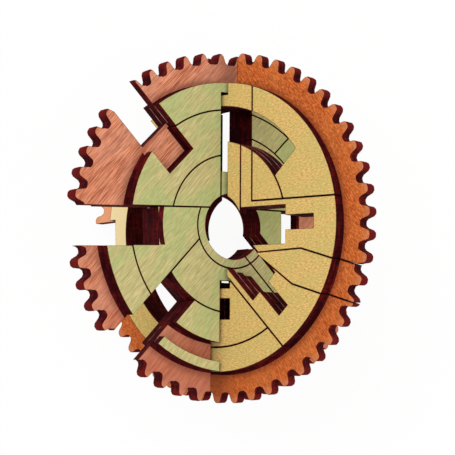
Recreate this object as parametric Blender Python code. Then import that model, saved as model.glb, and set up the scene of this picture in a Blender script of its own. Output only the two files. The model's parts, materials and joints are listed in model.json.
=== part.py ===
"""Crossed gear-disc puzzle in laser-cut plywood.

Two toothed discs pass through each other along one diameter and lie on a
table like an X. Each disc is three plies glued in a stack: a face ply, a
toothed ply and a back ply. Every ply is cut into flat plates by straight
slots close to the 45 degree rays, by windows and by thin saw lines. One wedge of
the yellow disc is a loose key that slides out through the rim.

A disc is drawn in its own plane: x to the right, y along the crossing axis,
z out of its face. Angles are clock angles in degrees, clockwise from +y.
"""

import math

import bmesh
import bpy

MM = 0.001

# Driving dimensions of the discs
TIP_RADIUS = 55.0 * MM
TOOTH_DEPTH = 3.4 * MM
TOOTH_COUNT = 50
RIM_WIDTH = 9.6 * MM
HUB_RADIUS = 10.2 * MM
PLY = 3.0 * MM
GLUE_GAP = 0.3 * MM
CROSS_ANGLE = 72.0
PASS_CLEARANCE = 0.35 * MM
GREEN_TOOTH_PHASE = -3.3
YELLOW_TOOTH_PHASE = 1.3

# Rays of the slots, as clock angles
UPPER_RIGHT_RAY = 45.0
RIGHT_RAY = 90.0
LOWER_RIGHT_RAY = 135.0
LOWER_LEFT_RAY = 224.0
LEFT_RAY = 267.7
UPPER_LEFT_RAY = 315.0

# Slots and saw lines
KERF = 0.4 * MM
SLOT_HALF = 5.9 * MM
SLOT_DROP = 0.5 * MM
NARROW_SLOT_HALF = 2.2 * MM
NARROW_SLOT_REACH = 10.2 * MM
RIB_LINE = 3.3 * MM
SLIT_LINE = 1.2 * MM
FAR_SEAM_RAY = 250.0
FAR_WINDOW_END = 290.0

# Widths of the bands between the saw lines that follow circles
HUB_RING_WIDTH = 2.9 * MM
CORE_WIDTH = 6.8 * MM
FAR_CORE_WIDTH = 8.4 * MM
INNER_WIDTH = 12.3 * MM
SLOT_START = 16.8 * MM
FAR_BAND = 2.0 * MM
FACE_BAND = 8.8 * MM
WINDOW_BAND = 7.8 * MM
GEAR_LEDGE = 1.4 * MM
STRIP_WIDTH = 3.4 * MM
NOTCH_DEPTH = 3.0 * MM

# Bridge of the yellow disc across the crossing, its slot play and its mortises
BRIDGE_THICKNESS = 3.6 * MM
BRIDGE_HALF = 14.3 * MM
SLOT_PLAY = 0.4 * MM
MORTISE_REACH = 6.0 * MM
MORTISE_BACK = 1.0 * MM
UPPER_MORTISE = 2.0 * MM
LOWER_MORTISE = 6.5 * MM
MORTISE_STEP = 3.1 * MM

# Straight saw lines of the yellow face
STRIP_STEP = 0.3 * MM
RIGHT_LINE = 7.2 * MM
LOWER_LINE = 7.7 * MM

# Loose key: a pencil-shaped wedge with two teeth
KEY_TURN = 16.5
KEY_OFFSET = 3.9 * MM
KEY_HALF = 5.5 * MM
KEY_POINT = 7.2 * MM
KEY_SHOULDER = 23.3 * MM

ARC_STEP = 4.0
SAMPLES_PER_TOOTH = 10
FAR = 1.5 * TIP_RADIUS

ROOT_RADIUS = TIP_RADIUS - TOOTH_DEPTH
FACE_RADIUS = TIP_RADIUS - RIM_WIDTH
STRIP_ARC = FACE_RADIUS - STRIP_WIDTH
MIDDLE_ARC = FACE_RADIUS - FACE_BAND
GEAR_SLOT_END = MIDDLE_ARC + GEAR_LEDGE
WINDOW_ARC = FACE_RADIUS - WINDOW_BAND
BRIDGE_TOP = WINDOW_ARC + BRIDGE_THICKNESS
RING_RADIUS = HUB_RADIUS + HUB_RING_WIDTH
CORE_RADIUS = HUB_RADIUS + CORE_WIDTH
FAR_SLOT_START = HUB_RADIUS + FAR_CORE_WIDTH
INNER_ARC = HUB_RADIUS + INNER_WIDTH
SLOT_END = HUB_RADIUS + SLOT_START
FAR_ARC = SLOT_END + FAR_BAND
NARROW_SLOT_END = SLOT_END + NARROW_SLOT_REACH
STRIP_LINE = HUB_RADIUS - STRIP_STEP
KEY_RAY = RIGHT_RAY + KEY_TURN
PITCH = PLY + GLUE_GAP
HALF_STACK = 1.5 * PLY + GLUE_GAP
LAYERS = {"back": -PITCH, "gear": 0.0, "face": PITCH}

COLOURS = {
    "green_face": (0.56, 0.52, 0.24, 1.0),
    "green_gear": (0.62, 0.26, 0.15, 1.0),
    "green_back": (0.56, 0.52, 0.24, 1.0),
    "yellow_face": (0.62, 0.46, 0.17, 1.0),
    "yellow_gear": (0.58, 0.19, 0.05, 1.0),
    "yellow_back": (0.62, 0.46, 0.17, 1.0),
}


def clear_scene():
    """Remove every object of the open scene."""
    for item in list(bpy.data.objects):
        bpy.data.objects.remove(item, do_unlink=True)


def new_collection(name):
    """Make a collection and link it to the scene."""
    group = bpy.data.collections.new(name)
    bpy.context.scene.collection.children.link(group)
    return group


def wood_material(name, colour):
    """Stained plywood."""
    material = bpy.data.materials.new(name)
    material.use_nodes = True
    shader = material.node_tree.nodes["Principled BSDF"]
    shader.inputs["Base Color"].default_value = colour
    shader.inputs["Roughness"].default_value = 0.7
    shader.inputs["Metallic"].default_value = 0.0
    return material


def clock_point(angle, radius):
    """Point at a clock angle in radians."""
    return (radius * math.sin(angle), radius * math.cos(angle))


def ray_point(ray, along, offset):
    """Point at a distance along a ray, and beside it on its clockwise side."""
    angle = math.radians(ray)
    x = along * math.sin(angle) + offset * math.cos(angle)
    y = along * math.cos(angle) - offset * math.sin(angle)
    return (x, y)


def after(ray, offset=SLOT_HALF):
    """Edge parallel to a ray, on its clockwise side."""
    return (ray, offset)


def before(ray, offset=SLOT_HALF):
    """Edge parallel to a ray, on its anticlockwise side."""
    return (ray, -offset)


def edge_angle(edge, radius):
    """Clock angle in radians where an edge meets a circle."""
    ray, offset = edge
    return math.radians(ray) + math.asin(offset / radius)


def tooth_radius(angle, phase):
    """Radius of the toothed rim: rounded tips over rounded gaps."""
    turn = (angle - math.radians(phase)) * TOOTH_COUNT
    steep = 4.0
    low = 1.0 / (1.0 + math.exp(steep))
    high = 1.0 / (1.0 + math.exp(-steep))
    share = (1.0 / (1.0 + math.exp(-steep * math.cos(turn))) - low) / (high - low)
    return ROOT_RADIUS + (TIP_RADIUS - ROOT_RADIUS) * share


def rim_end(edge, phase):
    """Clock angle where an edge meets the toothed rim."""
    radius = ROOT_RADIUS
    for _ in range(8):
        angle = edge_angle(edge, radius)
        radius = tooth_radius(angle, phase)
    return edge_angle(edge, radius)


def arc(radius, start, end):
    """Points on a circle from one clock angle to another."""
    count = max(2, int(abs(end - start) / math.radians(ARC_STEP)) + 1)
    return [clock_point(start + (end - start) * i / count, radius) for i in range(count + 1)]


def toothed_arc(start, end, phase):
    """Points on the toothed rim from one clock angle to another."""
    step = 2.0 * math.pi / (TOOTH_COUNT * SAMPLES_PER_TOOTH)
    origin = math.radians(phase)
    first = math.ceil((start - origin) / step + 0.3)
    last = math.floor((end - origin) / step - 0.3)
    angles = [start] + [origin + i * step for i in range(first, last + 1)] + [end]
    return [clock_point(a, tooth_radius(a, phase)) for a in angles]


def corner_of(start, end):
    """Point where two edges meet."""
    angle_a, angle_b = math.radians(start[0]), math.radians(end[0])
    # Each edge is the line x cos(a) - y sin(a) = offset
    a = (math.cos(angle_a), -math.sin(angle_a), start[1])
    b = (math.cos(angle_b), -math.sin(angle_b), end[1])
    det = a[0] * b[1] - a[1] * b[0]
    return ((a[2] * b[1] - a[1] * b[2]) / det, (a[0] * b[2] - a[2] * b[0]) / det)


def sector_outline(inner, outer, start, end, phase=None, trim=KERF / 2):
    """Outline between two circles and two edges, drawn in by half a saw line."""
    turn = 360.0 if end[0] < start[0] else 0.0
    start = (start[0], start[1] + trim)
    end = (end[0] + turn, end[1] - trim)
    if phase is None:
        rim = outer - trim
        points = arc(rim, edge_angle(start, rim), edge_angle(end, rim))
    else:
        points = toothed_arc(rim_end(start, phase), rim_end(end, phase), phase)
    if inner is None:
        points.append(corner_of(start, end))
    else:
        hub = inner + trim
        points += arc(hub, edge_angle(end, hub), edge_angle(start, hub))
    return points


def prism(name, group, points, depth, centre=0.0, holes=()):
    """Closed solid from a flat outline, made from a filled curve."""
    curve = bpy.data.curves.new(name, "CURVE")
    curve.dimensions = "2D"
    curve.fill_mode = "BOTH"
    curve.extrude = depth / 2
    for loop in (points, *holes):
        spline = curve.splines.new("POLY")
        spline.points.add(len(loop) - 1)
        for slot, (x, y) in zip(spline.points, loop):
            slot.co = (x, y, 0.0, 1.0)
        spline.use_cyclic_u = True
    draft = bpy.data.objects.new(name + "_outline", curve)
    draft.location.z = centre
    group.objects.link(draft)
    bpy.context.view_layer.update()
    graph = bpy.context.evaluated_depsgraph_get()
    mesh = bpy.data.meshes.new_from_object(draft.evaluated_get(graph))
    mesh.name = name
    mesh.transform(draft.matrix_world)
    bpy.data.objects.remove(draft, do_unlink=True)
    bpy.data.curves.remove(curve)
    shape = bmesh.new()
    shape.from_mesh(mesh)
    bmesh.ops.remove_doubles(shape, verts=shape.verts, dist=0.00001)
    bmesh.ops.recalc_face_normals(shape, faces=shape.faces)
    shape.to_mesh(mesh)
    shape.free()
    solid = bpy.data.objects.new(name, mesh)
    group.objects.link(solid)
    return solid


class Disc:
    """One three-ply disc: its frame, its plates and its cutters."""

    def __init__(self, name, tilt, phase, parts, cutters):
        self.name = name
        self.phase = phase
        self.parts = parts
        self.cutter_group = cutters
        self.rises_right = tilt < 0.0
        self.frame = bpy.data.objects.new(name + "_disc_frame", None)
        self.frame.empty_display_size = HUB_RADIUS
        self.frame.location = (0.0, 0.0, centre_height())
        self.frame.rotation_euler = (0.0, math.radians(tilt), 0.0)
        parts.objects.link(self.frame)
        self.cutters = {}

    def add_cutter(self, name, points):
        """Cutter through all three plies."""
        cutter = prism(f"cut_{self.name}_{name}", self.cutter_group, points, 4 * HALF_STACK)
        cutter.parent = self.frame
        cutter.hide_render = True
        cutter.display_type = "WIRE"
        self.cutters[name] = cutter

    def slot(self, name, ray, start, end, low=-SLOT_HALF, high=SLOT_HALF):
        """Straight slot along a ray, between two lines beside it."""
        corners = ((start, high), (end, high), (end, low), (start, low))
        self.add_cutter(name, [ray_point(ray, along, side) for along, side in corners])

    def sector_cut(self, name, inner, outer, start, end):
        """Cutter between two circles and two edges."""
        self.add_cutter(name, sector_outline(inner, outer, start, end, trim=-KERF / 2))

    def cross_half(self, layer, right):
        """Half width of the crossing slot in one ply, on the right or on the left.

        The slot clears the other disc, which leans over it: on the side that
        rises, the lower plies have to stay further back, and the reverse.
        """
        level = -LAYERS[layer] if right == self.rises_right else LAYERS[layer]
        angle = math.radians(CROSS_ANGLE)
        reach = HALF_STACK + PASS_CLEARANCE + (PLY / 2 + level) * math.cos(angle)
        return reach / math.sin(angle)

    def cross_edges(self, layer):
        """Edges of the crossing slot: top left, top right, bottom right and bottom left."""
        left = self.cross_half(layer, False) - KERF / 2
        right = self.cross_half(layer, True) - KERF / 2
        return before(0, left), after(0, right), before(180, right), after(180, left)

    def cross_slot(self, name, start, end):
        """Slot along the crossing axis, with its own width in each ply."""
        for layer in LAYERS:
            left = -self.cross_half(layer, False)
            right = self.cross_half(layer, True)
            corners = [(right, start), (right, end), (left, end), (left, start)]
            self.add_cutter(f"{name}_{layer}", corners)

    def plate(self, layer, name, inner, outer, start, end, cuts=(), toothed=False):
        """One plate of a ply."""
        phase = self.phase if toothed else None
        points = sector_outline(inner, outer, start, end, phase)
        return self.solid(layer, name, points, cuts)

    def solid(self, layer, name, points, cuts=(), holes=()):
        """One flat piece with its cuts, hung on the disc's frame."""
        kind = f"{self.name}_{layer}"
        plate = prism(f"{kind}_{name}", self.parts, points, PLY, LAYERS[layer], holes)
        plate.data.materials.append(wood_material(plate.name, COLOURS[kind]))
        plate.parent = self.frame
        for cut in cuts:
            modifier = plate.modifiers.new(cut, "BOOLEAN")
            modifier.operation = "DIFFERENCE"
            modifier.solver = "EXACT"
            modifier.object = self.cutters.get(f"{cut}_{layer}", self.cutters.get(cut))
        return plate


def centre_height():
    """Height of the crossing axis above the table, from the lowest tooth corner."""
    tilt = math.radians(CROSS_ANGLE / 2)
    return TIP_RADIUS * math.sin(tilt) + PLY / 2 * math.cos(tilt)


def full_ring(inner, outer):
    """Outline and hole of a whole ring."""
    trim = KERF / 2
    turn = 2.0 * math.pi
    return arc(outer - trim, 0.0, turn)[:-1], arc(inner + trim, 0.0, turn)[:-1]


def make_green_disc(parts, cutters):
    """The green disc, which slides along the crossing axis."""
    disc = Disc("green", CROSS_ANGLE / 2, GREEN_TOOTH_PHASE, parts, cutters)
    disc.cross_slot("axis_top", CORE_RADIUS, STRIP_ARC)
    disc.cross_slot("axis_bottom", -FAR, -CORE_RADIUS)
    disc.slot("upper_left_slot", UPPER_LEFT_RAY, SLOT_END, FAR)
    disc.slot("upper_left_slot_gear", UPPER_LEFT_RAY, GEAR_SLOT_END, FAR)
    disc.slot("left_slot", LEFT_RAY, SLOT_END, FAR)
    disc.slot("lower_left_slot", LOWER_LEFT_RAY, SLOT_END, FAR)
    disc.slot("right_slot", RIGHT_RAY, FAR_SLOT_START, FAR)
    disc.slot("right_slot_gear", RIGHT_RAY, FAR_SLOT_START, SLOT_END)
    disc.slot("slit", LOWER_RIGHT_RAY, 0.0, SLOT_END, high=-SLIT_LINE)
    rib = after(LOWER_RIGHT_RAY, RIB_LINE)
    slit = before(LOWER_RIGHT_RAY, SLIT_LINE)
    top_left, top_right, bottom_right, bottom_left = disc.cross_edges("face")
    upper_right = before(UPPER_RIGHT_RAY)

    disc.plate("face", "crown", MIDDLE_ARC, FACE_RADIUS, after(UPPER_LEFT_RAY), upper_right, ["axis_top"])
    disc.plate("face", "upper_left", INNER_ARC, MIDDLE_ARC, after(LEFT_RAY), top_left, ["upper_left_slot"])
    disc.plate("face", "inner_left", HUB_RADIUS, INNER_ARC, after(LEFT_RAY), top_left)
    disc.plate("face", "hub_ring", HUB_RADIUS, RING_RADIUS, rib, after(LEFT_RAY))
    lower_left = after(LOWER_LEFT_RAY)
    disc.plate("face", "lower_left", RING_RADIUS, MIDDLE_ARC, lower_left, after(LEFT_RAY), ["left_slot"])
    disc.plate("face", "lower_left_rim", MIDDLE_ARC, FACE_RADIUS, lower_left, before(LEFT_RAY))
    disc.plate("face", "bottom_inner", RING_RADIUS, SLOT_END, rib, lower_left, ["axis_bottom"])
    disc.plate("face", "bottom_middle", SLOT_END, MIDDLE_ARC, bottom_left, before(LOWER_LEFT_RAY))
    disc.plate("face", "bottom_strip", STRIP_ARC, FACE_RADIUS, bottom_left, before(LOWER_LEFT_RAY))
    disc.plate("face", "far_inner", HUB_RADIUS, FAR_ARC, top_left, before(RIGHT_RAY), ["axis_top"])
    disc.plate("face", "far_top", FAR_ARC, MIDDLE_ARC, top_right, upper_right)
    disc.plate("face", "far_upper_right", FAR_ARC, FACE_RADIUS, upper_right, before(RIGHT_RAY))
    far_core = before(LOWER_RIGHT_RAY)
    disc.plate("face", "far_core", HUB_RADIUS, FACE_RADIUS, before(RIGHT_RAY), far_core, ["right_slot"])
    disc.plate("face", "far_ring", HUB_RADIUS, RING_RADIUS, slit, rib)
    disc.plate("face", "far_rib", RING_RADIUS, FACE_RADIUS, slit, rib)
    disc.plate("face", "far_bottom", SLOT_END, FACE_RADIUS, rib, bottom_right)

    for layer, rim, toothed in (("gear", TIP_RADIUS, True), ("back", FACE_RADIUS, False)):
        top_left, top_right, bottom_right, bottom_left = disc.cross_edges(layer)
        upper_left = after(UPPER_LEFT_RAY)
        disc.plate(layer, "crown", CORE_RADIUS, rim, upper_left, upper_right, ["axis_top"], toothed)
        slots = ["upper_left_slot"]
        disc.plate(layer, "upper_left", CORE_RADIUS, rim, after(LEFT_RAY), upper_left, slots, toothed)
        slots = ["left_slot"]
        disc.plate(layer, "lower_left", CORE_RADIUS, rim, lower_left, after(LEFT_RAY), slots, toothed)
        disc.plate(layer, "bottom", CORE_RADIUS, rim, bottom_left, lower_left, ["lower_left_slot"], toothed)
        disc.plate(layer, "far_right", CORE_RADIUS, rim, upper_right, before(RIGHT_RAY), (), toothed)
        slots = ["right_slot", "slit"]
        disc.plate(layer, "far_lower", CORE_RADIUS, rim, before(RIGHT_RAY), bottom_right, slots, toothed)
        ring, hole = full_ring(HUB_RADIUS, CORE_RADIUS)
        disc.solid(layer, "hub", ring, ["slit"], (hole,))


def key_outline(rim, phase, trim):
    """Pencil-shaped key: a point, two shoulders and straight sides to the rim."""
    low = (KEY_RAY, KEY_OFFSET - KEY_HALF + trim)
    high = (KEY_RAY, KEY_OFFSET + KEY_HALF - trim)
    shoulder = HUB_RADIUS + KEY_SHOULDER
    if phase is None:
        points = arc(rim - trim, edge_angle(low, rim - trim), edge_angle(high, rim - trim))
    else:
        points = toothed_arc(rim_end(low, phase), rim_end(high, phase), phase)
    points.append(ray_point(KEY_RAY, shoulder, high[1]))
    points.append(ray_point(KEY_RAY, HUB_RADIUS + KEY_POINT + 2 * trim, KEY_OFFSET))
    points.append(ray_point(KEY_RAY, shoulder, low[1]))
    return points


def make_yellow_disc(parts, cutters):
    """The yellow disc, which stands still, without its key."""
    disc = Disc("yellow", -CROSS_ANGLE / 2, YELLOW_TOOTH_PHASE, parts, cutters)
    bottom = CORE_RADIUS + SLOT_PLAY
    disc.cross_slot("axis", -bottom, WINDOW_ARC)
    disc.cross_slot("axis_rim", BRIDGE_TOP, FAR)
    disc.sector_cut("window", SLOT_END, WINDOW_ARC, before(0, 0.0), after(UPPER_RIGHT_RAY))
    disc.sector_cut("bridge_block", WINDOW_ARC, FAR, before(0, BRIDGE_HALF), before(0, 0.0))
    disc.sector_cut("column_top", SLOT_END, FAR, before(0, 0.0), after(0, BRIDGE_HALF))
    disc.sector_cut("corner", None, FAR, after(0, BRIDGE_HALF), before(RIGHT_RAY, RIGHT_LINE))
    disc.sector_cut("far_window", SLOT_END, WINDOW_ARC, before(LOWER_LEFT_RAY), after(FAR_WINDOW_END, 0.0))
    low, high = SLOT_DROP - SLOT_HALF, SLOT_DROP + SLOT_HALF
    disc.slot("right_slot", RIGHT_RAY, 0.0, SLOT_END, low, high)
    low, high = -NARROW_SLOT_HALF, NARROW_SLOT_HALF
    disc.slot("right_narrow", RIGHT_RAY, 0.0, NARROW_SLOT_END, low, high)
    disc.slot("lower_right_slot", LOWER_RIGHT_RAY, 0.0, SLOT_END)
    disc.slot("lower_right_narrow", LOWER_RIGHT_RAY, 0.0, NARROW_SLOT_END, low, high)
    disc.slot("left_notch", LEFT_RAY, FACE_RADIUS - NOTCH_DEPTH, FAR)
    disc.slot("upper_left_slot", UPPER_LEFT_RAY, SLOT_END, FAR)
    disc.add_cutter("key_channel", key_outline(FAR, None, -KERF / 2))
    upper_end = bottom + UPPER_MORTISE
    lower_start = upper_end + MORTISE_STEP
    low, high = -MORTISE_BACK, MORTISE_REACH
    disc.slot("upper_mortise", 180.0, RING_RADIUS, upper_end, -high, -low)
    disc.slot("lower_mortise", 180.0, lower_start, lower_start + LOWER_MORTISE, -high, -low)
    key_line = after(KEY_RAY, KEY_OFFSET)
    lower_line = after(LOWER_RIGHT_RAY, LOWER_LINE)
    far_seam = after(FAR_SEAM_RAY, 0.0)
    upper_left = after(UPPER_LEFT_RAY)
    side_cuts = ["right_slot", "right_narrow", "lower_right_slot", "key_channel"]
    lower_cuts = ["axis", "lower_right_slot", "lower_right_narrow", "key_channel"]
    mortises = ["upper_mortise", "lower_mortise"]
    far_cuts = ["axis", "far_window", "left_notch", "upper_left_slot"]

    top_left, top_right, _, _ = disc.cross_edges("face")
    bridge_edges = (before(0, BRIDGE_HALF), after(0, BRIDGE_HALF))
    corner_edges = (after(0, BRIDGE_HALF), before(RIGHT_RAY, RIGHT_LINE))
    disc.plate("face", "bridge", WINDOW_ARC, FACE_RADIUS, *bridge_edges, ["axis_rim"])
    disc.plate("face", "upper_right", SLOT_END, FACE_RADIUS, *corner_edges, ["window"])
    disc.plate("face", "inner_right", None, SLOT_END, *corner_edges)
    disc.plate("face", "inner_strip", HUB_RADIUS, SLOT_END, top_right, after(0, STRIP_LINE))
    right_cuts = ["column_top", "corner", *side_cuts]
    disc.plate("face", "right", HUB_RADIUS, FACE_RADIUS, after(0, STRIP_LINE), key_line, right_cuts)
    disc.plate("face", "lower_right", HUB_RADIUS, FACE_RADIUS, key_line, lower_line, lower_cuts)
    disc.plate("face", "bottom", RING_RADIUS, WINDOW_ARC, lower_line, after(180), ["axis", *mortises])
    disc.plate("face", "bottom_rim", WINDOW_ARC, FACE_RADIUS, lower_line, far_seam)
    disc.plate("face", "far_bottom", RING_RADIUS, WINDOW_ARC, after(180), far_seam, ["axis", "far_window"])
    disc.plate("face", "far_left", HUB_RADIUS, FACE_RADIUS, far_seam, upper_left, far_cuts)
    disc.plate("face", "far_top", None, FACE_RADIUS, upper_left, top_left, ["bridge_block"])

    for layer, rim, toothed in (("gear", TIP_RADIUS, True), ("back", FACE_RADIUS, False)):
        top_left, top_right, _, _ = disc.cross_edges(layer)
        cuts = ["window", *side_cuts]
        disc.plate(layer, "bridge", WINDOW_ARC, rim, before(0, BRIDGE_HALF), top_right, ["axis_rim"], toothed)
        disc.plate(layer, "right", HUB_RADIUS, rim, top_right, key_line, cuts, toothed)
        disc.plate(layer, "far_left", HUB_RADIUS, rim, far_seam, upper_left, far_cuts, toothed)
        disc.plate(layer, "far_top", None, rim, upper_left, top_left, ["bridge_block"], toothed)
    cuts = [*lower_cuts, *mortises]
    disc.plate("gear", "lower_right", HUB_RADIUS, TIP_RADIUS, key_line, after(180), cuts, True)
    cuts = ["axis", "far_window"]
    disc.plate("gear", "far_bottom", RING_RADIUS, TIP_RADIUS, after(180), far_seam, cuts, True)
    cuts = ["axis", "far_window", *mortises]
    disc.plate("back", "lower_right", HUB_RADIUS, FACE_RADIUS, key_line, lower_line, lower_cuts)
    disc.plate("back", "bottom", RING_RADIUS, FACE_RADIUS, lower_line, far_seam, cuts)
    return disc


def make_key(disc):
    """The loose key of the yellow disc, three plies thick."""
    disc.solid("face", "key", key_outline(FACE_RADIUS, None, KERF / 2))
    disc.solid("gear", "key", key_outline(TIP_RADIUS, disc.phase, KERF / 2))
    disc.solid("back", "key", key_outline(FACE_RADIUS, None, KERF / 2))


def main():
    """Build the whole puzzle."""
    clear_scene()
    parts = new_collection("crossed_gear_puzzle")
    cutters = new_collection("cutters")
    make_green_disc(parts, cutters)
    yellow = make_yellow_disc(parts, cutters)
    make_key(yellow)


main()
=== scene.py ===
"""Crossed gear-disc puzzle in stained, laser-cut plywood.

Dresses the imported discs: stained plies with their own grain, scorched cut
walls with charred bands beside them, thin glue lines between the plies, and a
white studio stage seen from above.
"""

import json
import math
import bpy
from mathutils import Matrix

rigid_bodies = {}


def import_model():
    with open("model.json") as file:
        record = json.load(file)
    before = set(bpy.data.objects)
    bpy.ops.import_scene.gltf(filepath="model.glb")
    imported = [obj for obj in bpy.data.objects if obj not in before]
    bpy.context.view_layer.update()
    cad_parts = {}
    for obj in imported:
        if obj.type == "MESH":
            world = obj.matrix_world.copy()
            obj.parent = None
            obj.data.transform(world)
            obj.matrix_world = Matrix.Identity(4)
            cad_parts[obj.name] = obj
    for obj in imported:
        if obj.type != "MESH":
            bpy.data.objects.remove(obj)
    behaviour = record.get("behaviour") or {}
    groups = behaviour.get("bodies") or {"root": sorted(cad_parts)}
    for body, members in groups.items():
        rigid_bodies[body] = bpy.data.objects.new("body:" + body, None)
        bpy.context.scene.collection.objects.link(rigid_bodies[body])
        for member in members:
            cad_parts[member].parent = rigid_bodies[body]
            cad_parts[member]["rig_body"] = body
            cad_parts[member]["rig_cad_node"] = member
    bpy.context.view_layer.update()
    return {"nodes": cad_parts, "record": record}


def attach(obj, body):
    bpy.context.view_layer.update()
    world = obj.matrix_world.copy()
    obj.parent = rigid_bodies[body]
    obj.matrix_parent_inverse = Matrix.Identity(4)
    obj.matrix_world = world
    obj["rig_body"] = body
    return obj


bl_info = {
    "name": "Crossed Gear Puzzle",
    "version": (1, 0, 0),
    "blender": (4, 5, 0),
    "location": "View3D > Sidebar > Puzzle",
    "description": "Stains, scorches and glues the plies of a crossed gear-disc puzzle",
    "category": "Object",
}

import bpy
from mathutils import Vector

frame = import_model()

MM = 0.001
IMAGE_WIDTH = 455.0
SENSOR_WIDTH = 36.0

# Layout of the discs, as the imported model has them
PLY = 3.0 * MM
GLUE_GAP = 0.3 * MM
TIP_RADIUS = 55.0 * MM
TOOTH_DEPTH = 3.4 * MM
TOOTH_COUNT = 50
TOOTH_PHASES = {"green": math.radians(-3.3), "yellow": math.radians(1.3)}
TOOTH_STEEPNESS = 4.0
RIM_WIDTH = 9.6 * MM
STRIP_WIDTH = 3.4 * MM
FACE_BAND = 8.8 * MM
FACE_RADIUS = TIP_RADIUS - RIM_WIDTH
STRIP_ARC = FACE_RADIUS - STRIP_WIDTH
MIDDLE_ARC = FACE_RADIUS - FACE_BAND
SLOT_END = 27.0 * MM
SLOT_HALF = 5.9 * MM
RIGHT_RAY = math.radians(90.0)
LEFT_RAY = math.radians(267.7)
UPPER_LEFT_RAY = math.radians(315.0)
HALF_ANGLE = math.radians(36.0)
AXIS_HEIGHT = TIP_RADIUS * math.sin(HALF_ANGLE) + PLY / 2 * math.cos(HALF_ANGLE)
DISC_CENTRE = Vector((0.0, 0.0, AXIS_HEIGHT))
DISC_TILTS = {"green": HALF_ANGLE, "yellow": -HALF_ANGLE}

# Outer end of the rings and slots that run out past the teeth
BEYOND = 1.0

# Zones of a disc's own plane, each from where a look starts to where it is full
# Painted light: a paler colour laid on the left rim of the yellow plies, where that rim lies in shade
LIT_RIM_X = (-20.0 * MM, -40.0 * MM)
LIT_RIM_Y = (-22.0 * MM, -12.0 * MM)
LOW_Y = (-10.0 * MM, -46.0 * MM)
# Tips of the teeth on the faces: partly wear, partly a painted highlight
WORN_LIT_TIPS = (TIP_RADIUS - 3.0 * MM, TIP_RADIUS - 0.6 * MM)
# Painted highlight on the walls near the tips of the teeth
HIGHLIT_TIP_WALLS = (TIP_RADIUS - 2.2 * MM, TIP_RADIUS - 0.5 * MM)

# Widths over which painted shade fades, beside a face plate and beside the crossing
STEP_SHADE_WIDTH = 2.4 * MM
CROSSING_SHADE_WIDTH = 8.0 * MM

# Charred lip of the left slot, a little inside the saw cuts
LIP_HALF = 5.8 * MM
LIP_OVERLAP = 0.2 * MM

# Strengths of the looks, of the painted light and of the painted shade, as shares
PAINTED_LIGHT_SHARE = 0.8
WORN_LIT_SHARE = 0.45
TIP_HIGHLIGHT_SHARE = 0.45
STEP_SHADE_SHARE = 0.5
CROSSING_SHADE_SHARE = 0.45
WALL_SHARES = (0.45, 0.25, 0.30)

# Scales of the patterns, in cells per metre
VENEER_SCALE = 2600.0
SOOT_SCALE = 1100.0
SCORCH_SCALE = 130.0
SPECK_SCALE = 2300.0
GLUE_SCALE = 330.0

# Stretches of the patterns, in a disc's plane and through its plies
VENEER_STRETCH = (0.06, 0.06, 1.0)
SOOT_STRETCH = (1.0, 1.0, 0.3)
CLOUD_STRETCH = (0.45, 1.0, 1.0)
PORE_STRETCH = (2.6, 1.7, 1.0)

# Shift that keeps the pores apart from the fibres, and the scale that drops the depth
PORE_SHIFT = (3.0, 7.0, 0.0)
FLATTENED = (1.0, 1.0, 0.0)

# Factors that lighten or darken a colour
LIFTED_CHAR = 2.0
HIGHLIT_CHAR = 1.2
PAINTED_SHADE_TONE = 0.8
DULL_GLUE = 0.5

# Levels of a pattern where its colours stand, or where it starts and is full
FIBRE_LEVELS = (0.36, 0.50, 0.64)
WALL_LEVELS = (0.40, 0.50, 0.62)
GLUE_LEVELS = (0.40, 0.50, 0.60)
CLOUD_LEVELS = (0.42, 0.60)
PORE_LEVELS = (0.52, 0.68)
SPECK_LEVELS = (0.34, 0.66)
SINGE_LEVELS = (0.95, 0.60)
FLAT_LEVEL = 0.8

# Finish of the wood and of the glue
WALL_ROUGHNESS = 0.92
FACE_ROUGHNESS = 0.77
WOOD_SHINE = 0.05
BUMP_STRENGTH = 0.3
BUMP_DEPTH = 0.08 * MM
GLUE_ROUGHNESS = 0.7
GLUE_SHINE = 0.15

# Corners of a copied plate that stand closer than this are one corner
MERGE_DISTANCE = 0.01 * MM

# Stage: the floor, the share of its real shading that the camera sees, and the lamps, each
# with its place, its size and its power for a lamp setting of one
FLOOR_SIZE = 4.0
FLOOR_TONE = (0.93, 0.93, 0.93, 1.0)
FLOOR_ROUGHNESS = 0.9
KEPT_SHADING = 0.06
WHITE = (1.0, 1.0, 1.0, 1.0)
LAMPS = {
    "key_lamp": ((-0.25, 0.35, 0.75), 0.7, 4.0),
    "side_lamp": ((0.55, -0.25, 0.55), 0.8, 2.0),
}


def deselect_all():
    """Leave nothing selected or active."""
    bpy.ops.object.select_all(action="DESELECT")
    bpy.context.view_layer.objects.active = None


def make_active(item):
    """Select one object alone and make it the active one."""
    deselect_all()
    item.select_set(True)
    bpy.context.view_layer.objects.active = item


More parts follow.
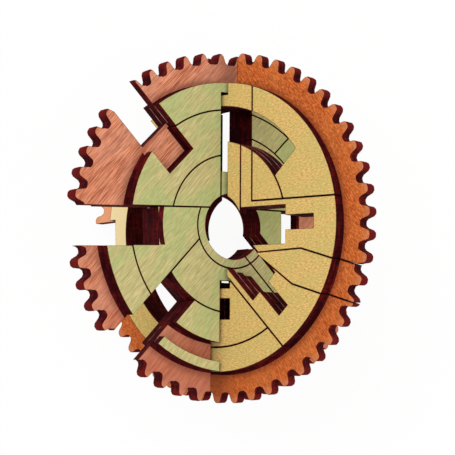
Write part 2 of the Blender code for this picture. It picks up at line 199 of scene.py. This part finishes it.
class Recipe:
    """A material and its nodes, added one by one."""

    def __init__(self, name):
        self.material = bpy.data.materials.new(name)
        self.material.use_nodes = True
        self.tree = self.material.node_tree
        self.shader = self.tree.nodes["Principled BSDF"]
        self.count = 0

    def add(self, kind, **settings):
        """New node with its settings, placed in rows of eight."""
        node = self.tree.nodes.new(kind)
        self.count += 1
        node.location = (-220.0 * (self.count % 8) - 300.0, -260.0 * (self.count // 8))
        for key, value in settings.items():
            setattr(node, key, value)
        return node

    def feed(self, socket, value):
        """Link a socket to another, or give it a constant."""
        if isinstance(value, bpy.types.NodeSocket):
            self.tree.links.new(value, socket)
        else:
            socket.default_value = value

    def math(self, operation, first, second=0.0):
        """Result of a Math node."""
        node = self.add("ShaderNodeMath", operation=operation)
        self.feed(node.inputs[0], first)
        self.feed(node.inputs[1], second)
        return node.outputs[0]

    def band(self, value, low, high, start=0.0, end=1.0):
        """Smooth step of a value between two levels."""
        node = self.add("ShaderNodeMapRange", interpolation_type="SMOOTHSTEP")
        self.feed(node.inputs["Value"], value)
        for key, number in (("From Min", low), ("From Max", high), ("To Min", start), ("To Max", end)):
            node.inputs[key].default_value = number
        return node.outputs["Result"]

    def blend(self, share, first, second, kind="MIX"):
        """Mix of two colours."""
        node = self.add("ShaderNodeMix", data_type="RGBA", blend_type=kind)
        self.feed(node.inputs[0], share)
        self.feed(node.inputs[6], first)
        self.feed(node.inputs[7], second)
        return node.outputs[2]

    def ramp(self, value, levels, colours):
        """Colour ramp over a value, with one colour at each level."""
        node = self.add("ShaderNodeValToRGB")
        self.feed(node.inputs[0], value)
        stops = node.color_ramp.elements
        while len(stops) < len(levels):
            stops.new(1.0)
        for stop, level, colour in zip(stops, levels, colours):
            stop.position = level
            stop.color = colour
        return node.outputs[0]

    def noise(self, vector, scale, detail=2.0, rough=0.5, warp=0.0):
        """Noise value at a scale per unit of the vector."""
        node = self.add("ShaderNodeTexNoise")
        self.feed(node.inputs["Vector"], vector)
        node.inputs["Scale"].default_value = scale
        node.inputs["Detail"].default_value = detail
        node.inputs["Roughness"].default_value = rough
        node.inputs["Distortion"].default_value = warp
        return node.outputs[0]

    def place(self, vector, location=(0, 0, 0), rotation=(0, 0, 0), scale=(1, 1, 1), kind="POINT"):
        """Vector moved, turned and scaled by a Mapping node."""
        node = self.add("ShaderNodeMapping", vector_type=kind)
        self.feed(node.inputs["Vector"], vector)
        node.inputs["Location"].default_value = location
        node.inputs["Rotation"].default_value = rotation
        node.inputs["Scale"].default_value = scale
        return node.outputs[0]

    def part_of(self, vector, axis):
        """One coordinate of a vector."""
        node = self.add("ShaderNodeSeparateXYZ")
        self.feed(node.inputs[0], vector)
        return node.outputs[axis]

    def radius_of(self, plane):
        """Distance from the middle of the disc."""
        length = self.add("ShaderNodeVectorMath", operation="LENGTH")
        self.feed(length.inputs[0], self.place(plane, scale=FLATTENED))
        return length.outputs["Value"]

    def between(self, value, low, high):
        """1 where a value lies between two levels."""
        above = self.math("GREATER_THAN", value, low)
        return self.math("MULTIPLY", above, self.math("LESS_THAN", value, high))


def rgba(colour):
    """Colour with full alpha."""
    return (colour[0], colour[1], colour[2], 1.0)


def shade(colour, factor):
    """Lighter or darker copy of a colour, with full alpha."""
    return tuple(min(1.0, channel * factor) for channel in colour[:3]) + (1.0,)


def tinted(base, factors):
    """Colour times a factor for each channel."""
    return tuple(min(1.0, channel * factor) for channel, factor in zip(base, factors))


def disc_coordinates(recipe, disc):
    """Coordinates in a disc's own plane, z out of its face."""
    source = recipe.add("ShaderNodeTexCoord").outputs["Object"]
    return recipe.place(source, tuple(DISC_CENTRE), (0.0, DISC_TILTS[disc], 0.0), kind="TEXTURE")


def flat_mask(recipe, disc):
    """1 on the flat faces of a ply, 0 on its cut walls."""
    tilt = DISC_TILTS[disc]
    normal = recipe.add("ShaderNodeNewGeometry").outputs["Normal"]
    dot = recipe.add("ShaderNodeVectorMath", operation="DOT_PRODUCT")
    recipe.feed(dot.inputs[0], normal)
    dot.inputs[1].default_value = (math.sin(tilt), 0.0, math.cos(tilt))
    level = recipe.math("ABSOLUTE", dot.outputs["Value"])
    return recipe.math("GREATER_THAN", level, FLAT_LEVEL)


def scorched_wall(recipe, plane, settings):
    """Laser-burnt edge grain, maroon and striped along the veneers, with a painted highlight on the walls
    near the tooth tips, and its soot pattern alone.
    """
    veneers = recipe.noise(recipe.place(plane, scale=VENEER_STRETCH), VENEER_SCALE, detail=2.0, rough=0.6)
    soot = recipe.noise(recipe.place(plane, scale=SOOT_STRETCH), SOOT_SCALE, detail=3.0, rough=0.65)
    scorch = recipe.noise(plane, SCORCH_SCALE, detail=2.0, rough=0.5)
    level = 0.0
    for pattern, share in zip((veneers, soot, scorch), WALL_SHARES):
        level = recipe.math("ADD", level, recipe.math("MULTIPLY", pattern, share))
    dark, warm = settings.char_dark, settings.char_warm
    burnt = recipe.ramp(level, WALL_LEVELS, (rgba(dark), shade(dark, LIFTED_CHAR), rgba(warm)))
    # Painted highlight: the walls near the tips of the teeth are lightened toward warm char
    tips = recipe.band(recipe.radius_of(plane), *HIGHLIT_TIP_WALLS, 0.0, TIP_HIGHLIGHT_SHARE)
    return recipe.blend(tips, burnt, shade(warm, HIGHLIT_CHAR)), soot


def bare_mask(recipe, plane, rings, slot_ray):
    """1 where no face plate covers the toothed ply: in some rings, or in a slot."""
    radius = recipe.radius_of(plane)
    bare = 0.0
    for low, high in rings:
        bare = recipe.math("MAXIMUM", bare, recipe.between(radius, low, high))
    if slot_ray is not None:
        turned = recipe.place(plane, rotation=(0.0, 0.0, slot_ray))
        inside = recipe.between(recipe.part_of(turned, "X"), -SLOT_HALF, SLOT_HALF)
        reach = recipe.between(recipe.part_of(turned, "Y"), SLOT_END, BEYOND)
        bare = recipe.math("MAXIMUM", bare, recipe.math("MULTIPLY", inside, reach))
    return bare


def slot_end_char(recipe, plane, settings):
    """1 on the charred lip at the inner end of the left slot."""
    turned = recipe.place(plane, rotation=(0.0, 0.0, LEFT_RAY))
    inside = recipe.between(recipe.part_of(turned, "X"), -LIP_HALF, LIP_HALF)
    ahead = recipe.math("GREATER_THAN", recipe.part_of(turned, "Y"), 0.0)
    lip = recipe.between(recipe.radius_of(plane), SLOT_END - settings.lip_band, SLOT_END + LIP_OVERLAP)
    return recipe.math("MULTIPLY", recipe.math("MULTIPLY", inside, ahead), lip)


def tooth_mask(recipe, plane, disc):
    """1 inside the toothed rim of a disc."""
    angle = recipe.math("ARCTAN2", recipe.part_of(plane, "X"), recipe.part_of(plane, "Y"))
    turn = recipe.math("MULTIPLY", recipe.math("SUBTRACT", angle, TOOTH_PHASES[disc]), TOOTH_COUNT)
    wave = recipe.math("MULTIPLY", recipe.math("COSINE", turn), -TOOTH_STEEPNESS)
    share = recipe.math("DIVIDE", 1.0, recipe.math("ADD", recipe.math("EXPONENT", wave), 1.0))
    low = 1.0 / (1.0 + math.exp(TOOTH_STEEPNESS))
    rise = TOOTH_DEPTH / (1.0 - 2.0 * low)
    rim = recipe.math("ADD", recipe.math("MULTIPLY", share, rise), TIP_RADIUS - TOOTH_DEPTH - low * rise)
    return recipe.math("LESS_THAN", recipe.radius_of(plane), rim)


def burnt_bands(recipe, plane, disc, look, layout, settings):
    """Charred bands on a toothed ply, beside its face plates and along its teeth, and the painted shade
    beside the plates.

    The walls that show from above stand on the uphill side of a plate, so the bands lie there:
    the plates are looked for a little downhill of each point, and the gaps of the teeth uphill.
    """
    rings, slot_ray, side = layout
    downhill = 1.0 if disc == "green" else -1.0
    across, along, teeth = look["bands"]
    width = settings.step_band
    step = recipe.place(plane, (downhill * side * width * across, width * along, 0.0))
    rim = recipe.place(plane, (-downhill * settings.tooth_band * teeth, 0.0, 0.0))
    bare = bare_mask(recipe, step, rings, slot_ray)
    kept = recipe.math("MULTIPLY", bare, tooth_mask(recipe, rim, disc))
    start = rings[0][0]
    radius = recipe.radius_of(step)
    # Painted shade: a soft dark band beside the face plates, where their step casts its shadow
    painted_shade = recipe.band(radius, start, start + STEP_SHADE_WIDTH, STEP_SHADE_SHARE, 0.0)
    painted_shade = recipe.math("MULTIPLY", painted_shade, recipe.math("GREATER_THAN", radius, start))
    return recipe.math("SUBTRACT", 1.0, kept), painted_shade


def singed_edge(recipe, reach):
    """Share of char close to the saw cuts, from the walls seen inside the plate."""
    probe = recipe.add("ShaderNodeAmbientOcclusion", inside=True, only_local=True, samples=8)
    probe.inputs["Distance"].default_value = reach
    return recipe.band(probe.outputs["AO"], *SINGE_LEVELS)


def grained_stain(recipe, plane, look, settings):
    """Stain with its fibres, clouds, pores and specks, and the fibres alone."""
    width = settings.grain_width * look["fibre_size"][0]
    length = settings.grain_length * look["fibre_size"][1]
    turned = recipe.place(plane, rotation=(0.0, 0.0, -look["angle"]))
    fibre_space = recipe.place(turned, scale=(1.0 / length, 1.0 / width, 1.0 / length))
    pore_space = recipe.place(fibre_space, PORE_SHIFT, scale=PORE_STRETCH)
    cloud_space = recipe.place(turned, scale=CLOUD_STRETCH)
    speck_space = recipe.place(turned, scale=(look["speck_stretch"], 1.0, 1.0))
    fibres = recipe.noise(fibre_space, 1.0, detail=2.0, rough=0.5, warp=0.15)
    pores = recipe.noise(pore_space, 1.0, detail=2.0, rough=0.6)
    clouds = recipe.noise(cloud_space, look["cloud_scale"], detail=4.0, rough=0.6)
    specks = recipe.noise(speck_space, SPECK_SCALE, detail=1.0, rough=0.6)
    tones = (rgba(look["dark"]), rgba(look["middle"]), rgba(look["light"]))
    stain = recipe.ramp(fibres, FIBRE_LEVELS, tones)
    stain = recipe.blend(recipe.band(clouds, *CLOUD_LEVELS, 0.0, look["cloud"]), stain, rgba(look["tint"]))
    stain = recipe.blend(recipe.band(pores, *PORE_LEVELS, 0.0, look["pore"]), stain, rgba(look["pore_tint"]))
    specks = recipe.band(specks, *SPECK_LEVELS, 1.0 - look["speck"], 1.0 + look["speck"])
    return recipe.blend(1.0, stain, specks, "MULTIPLY"), fibres


def painted_light_zone(recipe, plane):
    """Share of painted light near the left rim, where the wood lies in the shade of the other disc."""
    across = recipe.band(recipe.part_of(plane, "X"), *LIT_RIM_X, 0.0, PAINTED_LIGHT_SHARE)
    return recipe.math("MULTIPLY", across, recipe.band(recipe.part_of(plane, "Y"), *LIT_RIM_Y))


def used_gear(recipe, plane, disc, look, layout, settings, stain, burnt):
    """Stain of a toothed ply with its low tint, tips partly worn and partly lit by a painted highlight,
    painted shade beside the face plates and the crossing, and charred bands.
    """
    low = recipe.band(recipe.part_of(plane, "Y"), *LOW_Y, 0.0, look["low"])
    stain = recipe.blend(low, stain, rgba(look["low_tint"]))
    # Tips of the teeth lightened: partly wear, partly a painted highlight
    worn_and_lit = recipe.band(recipe.radius_of(plane), *WORN_LIT_TIPS, 0.0, WORN_LIT_SHARE)
    stain = recipe.blend(worn_and_lit, stain, rgba(settings.worn_and_lit))
    bands, painted_shade = burnt_bands(recipe, plane, disc, look, layout, settings)
    # Painted shade: the stain darkens near the crossing, where the other disc shades it
    crossing = recipe.math("ABSOLUTE", recipe.part_of(plane, "X"))
    crossing = recipe.band(crossing, 0.0, CROSSING_SHADE_WIDTH, CROSSING_SHADE_SHARE, 0.0)
    painted_shade = recipe.math("MAXIMUM", painted_shade, crossing)
    # The stain darkened by the painted shade
    shaded_stain = recipe.blend(painted_shade, stain, shade(look["pore_tint"], PAINTED_SHADE_TONE))
    return recipe.blend(bands, shaded_stain, burnt)


def stained_ply(name, disc, look, layout, settings):
    """Stained veneer with its grain, and scorched walls."""
    recipe = Recipe(name)
    plane = disc_coordinates(recipe, disc)
    stain, fibres = grained_stain(recipe, plane, look, settings)
    burnt, soot = scorched_wall(recipe, plane, settings)
    # Painted light that lifts the shaded left rim
    if "painted_light" in look:
        stain = recipe.blend(painted_light_zone(recipe, plane), stain, rgba(look["painted_light"]))
    stain = recipe.blend(singed_edge(recipe, look["singe"]), stain, burnt)
    if "lip" in look:
        stain = recipe.blend(slot_end_char(recipe, plane, settings), stain, burnt)
    if layout:
        stain = used_gear(recipe, plane, disc, look, layout, settings, stain, burnt)
    flat = flat_mask(recipe, disc)
    smoother = recipe.math("MULTIPLY", flat, WALL_ROUGHNESS - FACE_ROUGHNESS)
    bump = recipe.add("ShaderNodeBump")
    bump.inputs["Strength"].default_value = BUMP_STRENGTH
    bump.inputs["Distance"].default_value = BUMP_DEPTH
    recipe.feed(bump.inputs["Height"], recipe.blend(flat, soot, fibres))
    recipe.feed(recipe.shader.inputs["Base Color"], recipe.blend(flat, burnt, stain))
    recipe.feed(recipe.shader.inputs["Roughness"], recipe.math("SUBTRACT", WALL_ROUGHNESS, smoother))
    recipe.feed(recipe.shader.inputs["Normal"], bump.outputs[0])
    recipe.shader.inputs["Specular IOR Level"].default_value = WOOD_SHINE
    return recipe.material


def glue_material(settings, disc):
    """Glue line between two plies, pale here and there, and painted dark in some rings as shade and char."""
    recipe = Recipe(f"{disc}_glue")
    plane = disc_coordinates(recipe, disc)
    tone = recipe.noise(plane, GLUE_SCALE, detail=3.0, rough=0.6)
    pale = settings.glue_colour
    colour = recipe.ramp(tone, GLUE_LEVELS, (rgba(settings.char_warm), shade(pale, DULL_GLUE), rgba(pale)))
    radius = recipe.radius_of(plane)
    # Painted shade: in these rings the glue is as dark as the char, where its walls stand in shadow
    dark = 0.0
    for low, high in SHADED_GLUE_RINGS[disc]:
        dark = recipe.math("MAXIMUM", dark, recipe.between(radius, low, high))
    recipe.feed(recipe.shader.inputs["Base Color"], recipe.blend(dark, colour, rgba(settings.char_dark)))
    recipe.shader.inputs["Roughness"].default_value = GLUE_ROUGHNESS
    recipe.shader.inputs["Specular IOR Level"].default_value = GLUE_SHINE
    return recipe.material


class PuzzleStainSettings(bpy.types.PropertyGroup):
    """Colours of the stains and the char, and sizes of the grain and the charred bands."""

    green: bpy.props.FloatVectorProperty(
        name="Green stain", description="Face and back plies of the sliding disc", subtype="COLOR",
        default=(0.54, 0.475, 0.21), min=0.0, max=1.0)
    pink: bpy.props.FloatVectorProperty(
        name="Pink-brown stain", description="Toothed ply of the sliding disc", subtype="COLOR",
        default=(0.64, 0.225, 0.118), min=0.0, max=1.0)
    yellow: bpy.props.FloatVectorProperty(
        name="Yellow stain", description="Face and back plies of the standing disc", subtype="COLOR",
        default=(0.70, 0.472, 0.158), min=0.0, max=1.0)
    orange: bpy.props.FloatVectorProperty(
        name="Orange stain", description="Toothed ply of the standing disc", subtype="COLOR",
        default=(0.58, 0.128, 0.028), min=0.0, max=1.0)
    char_dark: bpy.props.FloatVectorProperty(
        name="Char", description="Darkest burnt edge grain", subtype="COLOR",
        default=(0.026, 0.0016, 0.0028), min=0.0, max=1.0)
    char_warm: bpy.props.FloatVectorProperty(
        name="Warm char", description="Lightest burnt edge grain", subtype="COLOR",
        default=(0.185, 0.011, 0.008), min=0.0, max=1.0)
    glue_colour: bpy.props.FloatVectorProperty(
        name="Glue", description="Line between two plies", subtype="COLOR",
        default=(0.60, 0.32, 0.24), min=0.0, max=1.0)
    # Worn tips: partly wear, partly a painted highlight on the tips of the teeth
    worn_and_lit: bpy.props.FloatVectorProperty(
        name="Worn tips", description="Rubbed tips of the teeth", subtype="COLOR",
        default=(0.66, 0.27, 0.14), min=0.0, max=1.0)
    step_band: bpy.props.FloatProperty(
        name="Step band", description="Width of the charred band beside a face plate", subtype="DISTANCE",
        default=1.2 * MM, min=0.0, max=4 * MM)
    tooth_band: bpy.props.FloatProperty(
        name="Tooth band", description="Width of the charred band along the teeth", subtype="DISTANCE",
        default=1.0 * MM, min=0.0, max=2 * MM)
    lip_band: bpy.props.FloatProperty(
        name="Lip band", description="Width of the charred lip of the left slot", subtype="DISTANCE",
        default=1.5 * MM, min=0.0, max=4 * MM)
    grain_width: bpy.props.FloatProperty(
        name="Fibre width", description="Width of one streak of grain", subtype="DISTANCE",
        default=0.36 * MM, min=0.1 * MM, max=5 * MM)
    grain_length: bpy.props.FloatProperty(
        name="Fibre length", description="Length of one streak of grain", subtype="DISTANCE",
        default=6.0 * MM, min=1 * MM, max=60 * MM)


class PuzzleGlueSettings(bpy.types.PropertyGroup):
    """Size of the glue lines."""

    thickness: bpy.props.FloatProperty(
        name="Thickness", description="Thickness of one glue line", subtype="DISTANCE",
        default=GLUE_GAP - 0.02 * MM, min=0.05 * MM, max=GLUE_GAP)


class PuzzleStageSettings(bpy.types.PropertyGroup):
    """Camera, lamps and surroundings."""

    camera_place: bpy.props.FloatVectorProperty(
        name="Camera place", description="Where the camera stands", subtype="TRANSLATION",
        default=(0.0163, -0.0340, 0.4377))
    camera_turn: bpy.props.FloatVectorProperty(
        name="Camera turn", description="How the camera is turned", subtype="EULER",
        default=(math.radians(4.82), math.radians(2.15), math.radians(0.35)))
    focal_pixels: bpy.props.FloatProperty(
        name="Focal length", description="Focal length in image pixels", default=1287.0, min=100.0)
    lamp_power: bpy.props.FloatProperty(
        name="Lamps", description="Strength of the two soft lamps", default=0.62, min=0.0)
    fill: bpy.props.FloatProperty(
        name="Fill", description="Strength of the pale surroundings", default=0.74, min=0.0)


# How each ply is stained:
# stain names its colour, dark and light are factors on that colour for the fibres,
# angle is the turn of the grain, fibre_size holds factors on the fibre's width and length,
# tint, pore_tint and low_tint are the colours of the clouds, the pores and the low side,
# cloud, pore, speck and low are shares, singe is how far char creeps in from a saw cut,
# bands holds factors on the charred bands across the disc, along it and on the teeth
# painted_light is the colour of the painted light laid on the shaded left rim
STAIN_LOOKS = {
    "green_face": {
        "stain": "green", "dark": (0.78, 0.80, 0.72), "light": (1.24, 1.18, 1.28),
        "angle": math.radians(48.0), "fibre_size": (0.62, 1.0),
        "cloud": 0.75, "cloud_scale": 120.0, "tint": (0.42, 0.485, 0.190),
        "pore": 0.18, "pore_tint": (0.50, 0.30, 0.14),
        "speck": 0.10, "speck_stretch": 0.15, "singe": 0.16 * MM, "lip": True,
    },
    "green_gear": {
        "stain": "pink", "dark": (0.64, 0.52, 0.50), "light": (1.26, 1.44, 1.56),
        "angle": math.radians(48.0), "fibre_size": (0.85, 1.2),
        "cloud": 0.5, "cloud_scale": 110.0, "tint": (0.68, 0.31, 0.20),
        "pore": 0.45, "pore_tint": (0.30, 0.075, 0.045),
        "speck": 0.12, "speck_stretch": 0.15, "singe": 0.25 * MM,
        "low": 0.60, "low_tint": (0.44, 0.115, 0.062), "bands": (1.0, 0.3, 1.2),
    },
    "yellow_face": {
        "stain": "yellow", "dark": (0.78, 0.76, 0.68), "light": (1.16, 1.19, 1.30),
        "angle": math.radians(12.0), "fibre_size": (0.75, 0.16),
        "cloud": 0.40, "cloud_scale": 260.0, "tint": (0.55, 0.48, 0.15),
        "pore": 0.40, "pore_tint": (0.48, 0.22, 0.075),
        "speck": 0.10, "speck_stretch": 0.5, "singe": 0.24 * MM, "painted_light": (0.98, 0.80, 0.46),
    },
    "yellow_gear": {
        "stain": "orange", "dark": (0.66, 0.58, 0.52), "light": (1.26, 1.50, 1.60),
        "angle": math.radians(128.0), "fibre_size": (0.75, 0.3),
        "cloud": 0.4, "cloud_scale": 110.0, "tint": (0.62, 0.18, 0.045),
        "pore": 0.50, "pore_tint": (0.26, 0.045, 0.018),
        "speck": 0.22, "speck_stretch": 0.6, "singe": 0.3 * MM, "painted_light": (0.92, 0.42, 0.22),
        "low": 0.2, "low_tint": (0.54, 0.13, 0.033), "bands": (0.25, 0.7, 0.45),
    },
}
STAIN_LOOKS["green_back"] = STAIN_LOOKS["green_face"]
STAIN_LOOKS["yellow_back"] = STAIN_LOOKS["yellow_face"]

# Where a toothed plate is bare: rings beyond the face plates, the ray of a slot cut in the face
# alone, and the side of a face plate on which its char lies, 1 for uphill and -1 for downhill
WHOLE_RIM = (((FACE_RADIUS, BEYOND),), None, 1.0)
BARE_PLATES = {
    "green_gear_upper_left": (((MIDDLE_ARC, BEYOND),), UPPER_LEFT_RAY, 1.0),
    "green_gear_crown": (((FACE_RADIUS, BEYOND),), UPPER_LEFT_RAY, 1.0),
    "green_gear_bottom": (((FACE_RADIUS, BEYOND), (MIDDLE_ARC, STRIP_ARC)), None, 1.0),
    "green_gear_far_right": (((FACE_RADIUS, BEYOND),), RIGHT_RAY, -1.0),
    "green_gear_far_lower": (((FACE_RADIUS, BEYOND),), RIGHT_RAY, -1.0),
}

# Rings where the glue line is painted as dark as the char: painted shade on the walls that stand in shadow,
# and char at the rim
SHADED_GLUE_RINGS = {
    "green": ((0.0, 10.8 * MM), (26.4 * MM, 38.2 * MM), (44.6 * MM, 45.5 * MM)),
    "yellow": ((0.0, 13.0 * MM), (36.0 * MM, 46.0 * MM)),
}


def stain_nodes(kind):
    """Give every plate of one ply its stain."""
    settings = bpy.context.scene.puzzle_stain
    look = dict(STAIN_LOOKS[kind])
    base = tuple(getattr(settings, look["stain"]))
    look["middle"] = base
    for key in ("dark", "light"):
        look[key] = tinted(base, look[key])
    materials = {}
    for name, node in frame["nodes"].items():
        if not name.startswith(kind + "_"):
            continue
        layout = BARE_PLATES.get(name, WHOLE_RIM) if "bands" in look else None
        if layout not in materials:
            label = f"{kind}_ply_{len(materials) + 1}"
            materials[layout] = stained_ply(label, kind.split("_")[0], look, layout, settings)
        node.data.materials.clear()
        node.data.materials.append(materials[layout])


class PUZZLE_OT_stain_faces(bpy.types.Operator):
    """Stain the face and back plies green and yellow."""

    bl_idname = "puzzle.stain_faces"
    bl_label = "Stain the Face Plies"

    def execute(self, context):
        for kind in ("green_face", "green_back", "yellow_face", "yellow_back"):
            stain_nodes(kind)
        return {"FINISHED"}


class PUZZLE_OT_stain_gears(bpy.types.Operator):
    """Stain the toothed plies pink-brown and orange."""

    bl_idname = "puzzle.stain_gears"
    bl_label = "Stain the Toothed Plies"

    def execute(self, context):
        for kind in ("green_gear", "yellow_gear"):
            stain_nodes(kind)
        return {"FINISHED"}


def glue_line(node_name, body, side, settings, material):
    """Thin film under a face plate, or over a back plate, with the plate's own outline."""
    disc = node_name.split("_")[0]
    tilt = DISC_TILTS[disc]
    make_active(frame["nodes"][node_name])
    bpy.ops.object.duplicate()
    film = bpy.context.view_layer.objects.active
    film.name = node_name.replace("_face_", "_glue_top_").replace("_back_", "_glue_under_")
    film.data.name = film.name
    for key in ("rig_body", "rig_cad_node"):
        if key in film:
            del film[key]
    film.parent = None
    bpy.ops.object.mode_set(mode="EDIT")
    bpy.ops.mesh.select_all(action="SELECT")
    bpy.ops.mesh.remove_doubles(threshold=MERGE_DISTANCE)
    bpy.ops.transform.rotate(value=tilt, orient_axis="Y", center_override=tuple(DISC_CENTRE))
    middle = DISC_CENTRE + Vector((0.0, 0.0, side * (PLY + GLUE_GAP) / 2))
    plate_middle = DISC_CENTRE + Vector((0.0, 0.0, side * (PLY + GLUE_GAP)))
    bpy.ops.transform.resize(value=(1.0, 1.0, settings.thickness / PLY), center_override=tuple(plate_middle))
    bpy.ops.transform.translate(value=tuple(middle - plate_middle))
    bpy.ops.transform.rotate(value=-tilt, orient_axis="Y", center_override=tuple(DISC_CENTRE))
    bpy.ops.object.mode_set(mode="OBJECT")
    film.data.materials.clear()
    film.data.materials.append(material)
    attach(film, body)


class PUZZLE_OT_glue_lines(bpy.types.Operator):
    """Fill the joints between the plies with thin glue lines."""

    bl_idname = "puzzle.glue_lines"
    bl_label = "Add the Glue Lines"

    def execute(self, context):
        stain = context.scene.puzzle_stain
        settings = context.scene.puzzle_glue
        bodies = frame["record"]["behaviour"]["bodies"]
        materials = {disc: glue_material(stain, disc) for disc in DISC_TILTS}
        for body, members in bodies.items():
            for name in members:
                disc, layer = name.split("_")[:2]
                if layer != "gear":
                    side = 1.0 if layer == "face" else -1.0
                    glue_line(name, body, side, settings, materials[disc])
        deselect_all()
        return {"FINISHED"}


def area_lamp(name, place, size, power):
    """Large soft lamp aimed at the middle of the discs."""
    bpy.ops.object.light_add(type="AREA", location=place)
    lamp = bpy.context.view_layer.objects.active
    lamp.name = name
    lamp.data.shape = "DISK"
    lamp.data.size = size
    lamp.data.energy = power
    lamp.rotation_euler = (DISC_CENTRE - Vector(place)).to_track_quat("-Z", "Y").to_euler()


def white_for_camera(name, tone, keep):
    """White to the camera, with a faint share of real shading that keeps the shadow."""
    recipe = Recipe(name)
    recipe.shader.inputs["Base Color"].default_value = tone
    recipe.shader.inputs["Roughness"].default_value = FLOOR_ROUGHNESS
    glow = recipe.add("ShaderNodeEmission")
    glow.inputs["Color"].default_value = WHITE
    glow.inputs["Strength"].default_value = 1.0
    path = recipe.add("ShaderNodeLightPath")
    mix = recipe.add("ShaderNodeMixShader")
    recipe.feed(mix.inputs[0], recipe.math("MULTIPLY", path.outputs["Is Camera Ray"], 1.0 - keep))
    recipe.feed(mix.inputs[1], recipe.shader.outputs[0])
    recipe.feed(mix.inputs[2], glow.outputs[0])
    output = recipe.tree.nodes["Material Output"]
    recipe.feed(output.inputs["Surface"], mix.outputs[0])
    return recipe.material


class PUZZLE_OT_stage(bpy.types.Operator):
    """Set up the white floor, the soft lamps and the camera above."""

    bl_idname = "puzzle.stage"
    bl_label = "Set the Stage"

    def execute(self, context):
        settings = context.scene.puzzle_stage
        deselect_all()
        bpy.ops.mesh.primitive_plane_add(size=FLOOR_SIZE, location=(0.0, 0.0, 0.0))
        floor = context.view_layer.objects.active
        floor.name = "studio_floor"
        floor.data.materials.append(white_for_camera("studio_white", FLOOR_TONE, KEPT_SHADING))
        for name, (place, size, power) in LAMPS.items():
            area_lamp(name, place, size, settings.lamp_power * power)
        world = bpy.data.worlds.new("studio_world")
        world.use_nodes = True
        background = world.node_tree.nodes["Background"]
        background.inputs["Color"].default_value = WHITE
        background.inputs["Strength"].default_value = settings.fill
        context.scene.world = world
        bpy.ops.object.camera_add(location=tuple(settings.camera_place), rotation=tuple(settings.camera_turn))
        camera = context.view_layer.objects.active
        camera.name = "photo_camera"
        camera.data.sensor_width = SENSOR_WIDTH
        camera.data.lens = settings.focal_pixels / IMAGE_WIDTH * SENSOR_WIDTH
        context.scene.camera = camera
        context.scene.view_settings.view_transform = "Standard"
        return {"FINISHED"}


class PUZZLE_PT_panel(bpy.types.Panel):
    """Steps that dress the puzzle, in order, and their settings."""

    bl_idname = "PUZZLE_PT_panel"
    bl_label = "Crossed Gear Puzzle"
    bl_space_type = "VIEW_3D"
    bl_region_type = "UI"
    bl_category = "Puzzle"

    def draw(self, context):
        for name in STEPS:
            self.layout.operator("puzzle." + name)
        for group in (context.scene.puzzle_stain, context.scene.puzzle_glue, context.scene.puzzle_stage):
            box = self.layout.box()
            for key in group.bl_rna.properties.keys():
                if key not in ("rna_type", "name"):
                    box.prop(group, key)


STEPS = ("stain_faces", "stain_gears", "glue_lines", "stage")
CLASSES = (
    PuzzleStainSettings,
    PuzzleGlueSettings,
    PuzzleStageSettings,
    PUZZLE_OT_stain_faces,
    PUZZLE_OT_stain_gears,
    PUZZLE_OT_glue_lines,
    PUZZLE_OT_stage,
    PUZZLE_PT_panel,
)


def register():
    """Register the classes and hang the settings on the scene."""
    for item in CLASSES:
        bpy.utils.register_class(item)
    bpy.types.Scene.puzzle_stain = bpy.props.PointerProperty(type=PuzzleStainSettings)
    bpy.types.Scene.puzzle_glue = bpy.props.PointerProperty(type=PuzzleGlueSettings)
    bpy.types.Scene.puzzle_stage = bpy.props.PointerProperty(type=PuzzleStageSettings)


def unregister():
    """Undo register."""
    del bpy.types.Scene.puzzle_stage
    del bpy.types.Scene.puzzle_glue
    del bpy.types.Scene.puzzle_stain
    for item in reversed(CLASSES):
        bpy.utils.unregister_class(item)


def main():
    """Dress the puzzle."""
    register()
    for name in STEPS:
        getattr(bpy.ops.puzzle, name)()


if __name__ == "__main__":
    main()
